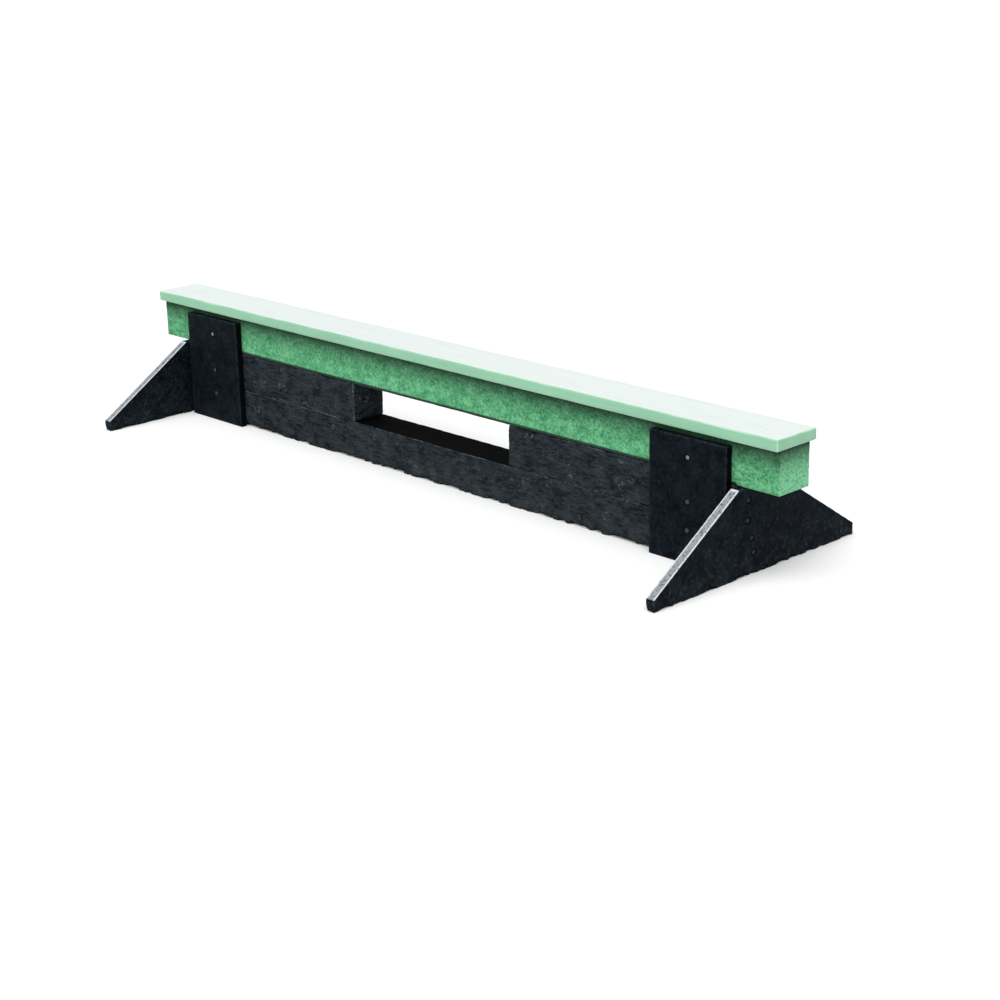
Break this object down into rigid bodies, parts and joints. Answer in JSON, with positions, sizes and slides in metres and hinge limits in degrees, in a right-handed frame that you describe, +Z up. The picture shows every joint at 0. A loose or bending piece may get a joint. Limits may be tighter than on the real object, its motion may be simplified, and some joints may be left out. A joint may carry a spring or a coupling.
{
  "type": "balance beam",
  "caption": "Low balance beam for dogs: a pale green plank on a green timber, carried by black stacked timbers with a window, tie plates and triangular end feet.",
  "frame": {"origin": "on the ground, under the middle of the beam", "axes": "+X along the beam, +Y from the front to the back, +Z up"},
  "size_m": [3.048, 0.9398, 0.4581],
  "materials": {
    "deck_plastic": "smooth pale green plastic plank, satin, with faint long streaks",
    "beam_plastic": "mottled mid green recycled plastic timber, matt and finely speckled",
    "timber_plastic": "black recycled plastic timber, rough, with long streaks and pale scuffs",
    "board_plastic": "blue-black plastic board, smoother, with pale sawn edges",
    "screw_steel": "zinc-plated countersunk screw with a star socket",
    "deck_screw_paint": "screw head painted to match the plank",
    "rod_steel": "galvanised threaded rod and flange nuts, hidden inside"
  },
  "bodies": {
    "root": {"deck_plank": "deck_plastic", "top_beam": "beam_plastic", "lower_course": "timber_plastic", "upper_course_left": "timber_plastic", "upper_course_right": "timber_plastic", "front_plate_left": "board_plastic", "front_plate_screw_left_1": "screw_steel", "front_plate_screw_left_2": "screw_steel", "front_plate_screw_left_3": "screw_steel", "front_plate_right": "board_plastic", "front_plate_screw_right_1": "screw_steel", "front_plate_screw_right_2": "screw_steel", "front_plate_screw_right_3": "screw_steel", "back_plate_left": "board_plastic", "back_plate_screw_left_1": "screw_steel", "back_plate_screw_left_2": "screw_steel", "back_plate_screw_left_3": "screw_steel", "back_plate_right": "board_plastic", "back_plate_screw_right_1": "screw_steel", "back_plate_screw_right_2": "screw_steel", "back_plate_screw_right_3": "screw_steel", "foot_panel_left": "board_plastic", "foot_screw_left_1": "screw_steel", "foot_screw_left_2": "screw_steel", "foot_screw_left_3": "screw_steel", "foot_screw_left_4": "screw_steel", "foot_panel_right": "board_plastic", "foot_screw_right_1": "screw_steel", "foot_screw_right_2": "screw_steel", "foot_screw_right_3": "screw_steel", "foot_screw_right_4": "screw_steel", "deck_screw_1": "deck_screw_paint", "deck_screw_2": "deck_screw_paint", "deck_screw_3": "deck_screw_paint", "deck_screw_4": "deck_screw_paint", "deck_screw_5": "deck_screw_paint", "deck_screw_6": "deck_screw_paint", "deck_screw_7": "deck_screw_paint", "deck_screw_8": "deck_screw_paint", "deck_screw_9": "deck_screw_paint", "deck_screw_10": "deck_screw_paint", "deck_screw_11": "deck_screw_paint", "deck_screw_12": "deck_screw_paint", "tie_rod_inner_left": "rod_steel", "top_nut_inner_left": "rod_steel", "bottom_nut_inner_left": "rod_steel", "tie_rod_inner_right": "rod_steel", "top_nut_inner_right": "rod_steel", "bottom_nut_inner_right": "rod_steel", "tie_rod_outer_left": "rod_steel", "top_nut_outer_left": "rod_steel", "bottom_nut_outer_left": "rod_steel", "tie_rod_outer_right": "rod_steel", "top_nut_outer_right": "rod_steel", "bottom_nut_outer_right": "rod_steel"}
  },
  "joints": []
}
